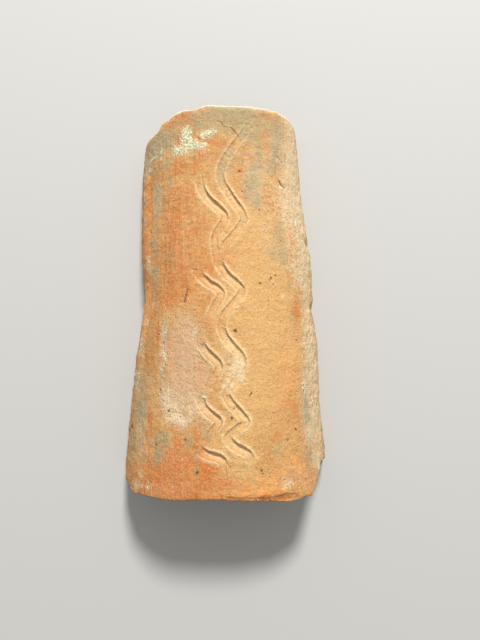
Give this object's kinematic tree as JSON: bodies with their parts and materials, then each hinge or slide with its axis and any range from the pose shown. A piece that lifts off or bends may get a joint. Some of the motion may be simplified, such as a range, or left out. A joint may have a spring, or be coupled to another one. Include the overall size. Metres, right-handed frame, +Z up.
{
  "type": "decorative ridge tile",
  "caption": "Hand-made tapered half-round ridge tile of fired clay, with a finger-drawn double zigzag down the crown and broken corners.",
  "frame": {"origin": "middle of the footprint, on the plane of the two long bearing edges", "axes": "+Z up through the crown, +Y along the tile from the broad end to the narrow end, +X across to the right seen from the broad end"},
  "size_m": [0.2294, 0.4436, 0.0998],
  "materials": {
    "fired_clay": "matt"
  },
  "bodies": {
    "root": {"ridge_tile": "fired_clay"}
  },
  "joints": []
}
